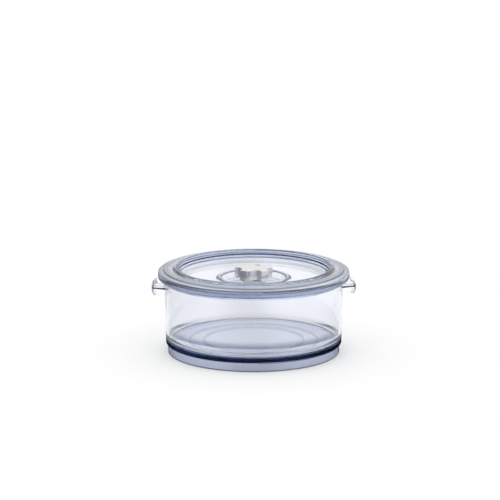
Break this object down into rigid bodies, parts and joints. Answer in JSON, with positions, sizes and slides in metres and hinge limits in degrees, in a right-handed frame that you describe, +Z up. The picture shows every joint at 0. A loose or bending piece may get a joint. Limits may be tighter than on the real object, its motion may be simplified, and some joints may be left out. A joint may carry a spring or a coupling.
{
  "type": "vacuum seal canister",
  "caption": "Low round clear food canister with moulded ears, a recessed gasketed lid and a lobed knob that opens its vacuum vent valve.",
  "frame": {"origin": "middle of the foot ring's underside, on the surface that the canister stands on", "axes": "+Z up along the canister's round axis; the two moulded ears lie along X; the knob lobe beside the round index mark points along +Y when the valve is closed"},
  "size_m": [0.235, 0.22, 0.1006],
  "materials": {
    "clear_body": "clear, faint blue tint, polished",
    "clear_lid": "clear, faint blue tint, polished",
    "silicone": "translucent silicone, satin",
    "silver_knob": "silver-coated plastic, satin",
    "white_acetal": "white moulded plastic, satin",
    "valve_rubber": "grey silicone rubber, matt",
    "spring_steel": "bright stainless"
  },
  "bodies": {
    "canister": {"canister_body": "clear_body"},
    "lid": {"lid_shell": "clear_lid", "lid_gasket": "silicone", "retaining_washer": "spring_steel", "retaining_screw": "spring_steel", "splash_guard": "clear_lid"},
    "knob": {"knob_cover": "silver_knob", "knob_core": "white_acetal", "cam_sleeve": "white_acetal", "valve_spring": "spring_steel"},
    "plunger": {"valve_plunger": "white_acetal", "valve_disc": "valve_rubber"}
  },
  "joints": [
    {"name": "lid_lift", "type": "slide", "parent": "canister", "child": "lid", "axis": [0, 0, 1], "range_m": [0, 0.12]},
    {"name": "knob_turn", "type": "hinge", "parent": "lid", "child": "knob", "pos_m": [0, 0, 0.09], "axis": [0, 0, 1], "range_deg": [0, 90]},
    {"name": "valve_lift", "type": "slide", "parent": "lid", "child": "plunger", "axis": [0, 0, 1], "range_m": [0, 0.0025], "deforming": ["valve_spring"]}
  ],
  "couplings": [
    {"joint": "valve_lift", "follows": "knob_turn", "m_per_rad": 0.0015915}
  ]
}
